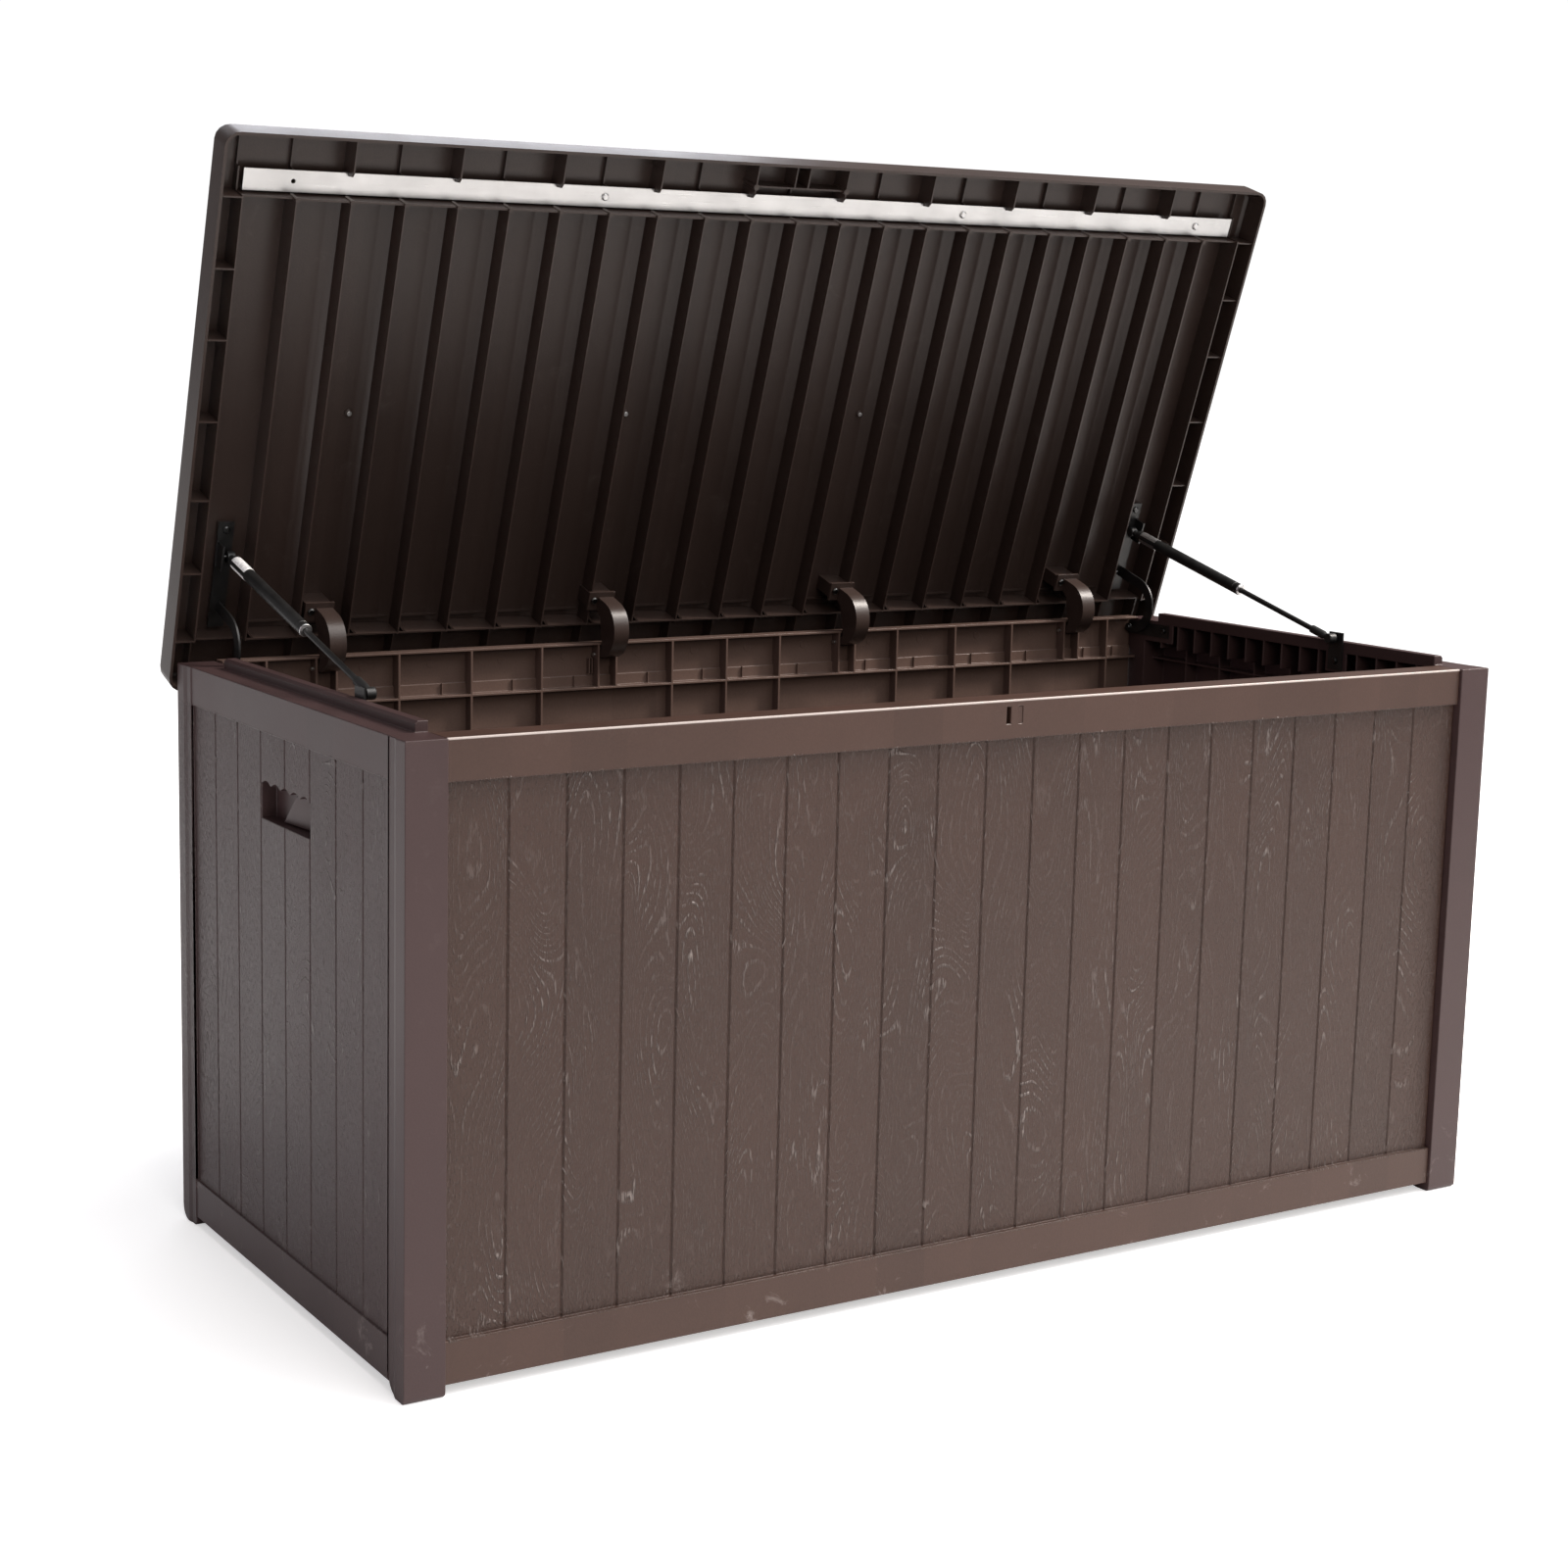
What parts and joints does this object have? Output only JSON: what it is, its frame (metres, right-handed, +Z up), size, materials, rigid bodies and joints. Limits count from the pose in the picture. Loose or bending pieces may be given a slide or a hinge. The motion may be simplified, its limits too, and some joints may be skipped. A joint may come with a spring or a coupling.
{
  "type": "deck storage box",
  "caption": "Rectangular resin deck storage box, embossed as wood planks, with a ribbed lid on gooseneck hinges, held open by gas struts.",
  "frame": {"origin": "centre of the bounding box's base, with the lid open at its stop", "axes": "+X to the right along the hinge axis and the box's length, +Y to the back, +Z up"},
  "size_m": [1.544, 0.7188, 1.3281],
  "materials": {
    "brown_resin": "satin moulded resin with embossed wood grain",
    "zinc_steel": "zinc plated",
    "dark_brown_resin": "satin moulded resin",
    "black_steel": "black powder coat",
    "mill_aluminium": "mill finish",
    "black_nylon": "satin"
  },
  "bodies": {
    "box": {"back_panel": "brown_resin", "base_panel": "dark_brown_resin", "front_panel": "brown_resin", "hinge_pin_1": "zinc_steel", "hinge_pin_2": "zinc_steel", "hinge_pin_3": "zinc_steel", "hinge_pin_4": "zinc_steel", "hinge_plate_left": "black_steel", "hinge_plate_right": "black_steel", "hinge_plate_screw_left": "zinc_steel", "hinge_plate_screw_right": "zinc_steel", "hinge_rivet_left": "black_steel", "hinge_rivet_right": "black_steel", "left_side_panel": "brown_resin", "right_side_panel": "brown_resin", "strut_bracket_left": "black_steel", "strut_bracket_right": "black_steel", "strut_bracket_screw_left": "zinc_steel", "strut_bracket_screw_right": "zinc_steel", "strut_wall_stud_left": "zinc_steel", "strut_wall_stud_right": "zinc_steel"},
    "lid": {"bar_screw_1": "zinc_steel", "bar_screw_2": "zinc_steel", "bar_screw_3": "zinc_steel", "gooseneck_1": "dark_brown_resin", "gooseneck_2": "dark_brown_resin", "gooseneck_3": "dark_brown_resin", "gooseneck_4": "dark_brown_resin", "gooseneck_screw_1": "zinc_steel", "gooseneck_screw_2": "zinc_steel", "gooseneck_screw_3": "zinc_steel", "gooseneck_screw_4": "zinc_steel", "lid_bracket_left": "black_steel", "lid_bracket_right": "black_steel", "lid_bracket_screw_left_1": "zinc_steel", "lid_bracket_screw_left_2": "zinc_steel", "lid_bracket_screw_right_1": "zinc_steel", "lid_bracket_screw_right_2": "zinc_steel", "lid_panel": "dark_brown_resin", "lid_stud_left": "zinc_steel", "lid_stud_right": "zinc_steel", "stiffener_bar": "mill_aluminium"},
    "left_strut_rod": {"strut_foot_left": "black_nylon", "strut_rod_left": "black_steel", "strut_piston_left": "black_nylon"},
    "left_strut_tube": {"strut_tube_left": "black_steel", "strut_head_left": "black_nylon", "strut_ball_left": "zinc_steel", "strut_guide_left": "zinc_steel"},
    "right_strut_rod": {"strut_foot_right": "black_nylon", "strut_rod_right": "black_steel", "strut_piston_right": "black_nylon"},
    "right_strut_tube": {"strut_tube_right": "black_steel", "strut_head_right": "black_nylon", "strut_ball_right": "zinc_steel", "strut_guide_right": "zinc_steel"}
  },
  "joints": [
    {"name": "lid_hinge", "type": "hinge", "parent": "box", "child": "lid", "pos_m": [0, 0.29301, 0.685], "axis": [1, 0, 0], "range_deg": [0, 71.8], "stiffness_Nm_per_rad": 4.5, "springref_deg": -108.86},
    {"name": "left_strut_swing", "type": "hinge", "parent": "box", "child": "left_strut_rod", "pos_m": [-0.704, -0.13299, 0.715], "axis": [1, 0, 0], "range_deg": [-13.12, 0]},
    {"name": "left_strut_slide", "type": "slide", "parent": "left_strut_rod", "child": "left_strut_tube", "axis": [0, 0.966, 0.2587], "range_m": [-0.14659, 0]},
    {"name": "right_strut_swing", "type": "hinge", "parent": "box", "child": "right_strut_rod", "pos_m": [0.704, -0.13299, 0.715], "axis": [1, 0, 0], "range_deg": [-13.12, 0]},
    {"name": "right_strut_slide", "type": "slide", "parent": "right_strut_rod", "child": "right_strut_tube", "axis": [0, 0.966, 0.2587], "range_m": [-0.14659, 0]}
  ],
  "couplings": [
    {"joint": "left_strut_swing", "follows": "lid_hinge", "ratio": -0.18259},
    {"joint": "left_strut_slide", "follows": "lid_hinge", "m_per_rad": -0.11694},
    {"joint": "right_strut_swing", "follows": "lid_hinge", "ratio": -0.18259},
    {"joint": "right_strut_slide", "follows": "lid_hinge", "m_per_rad": -0.11694}
  ]
}
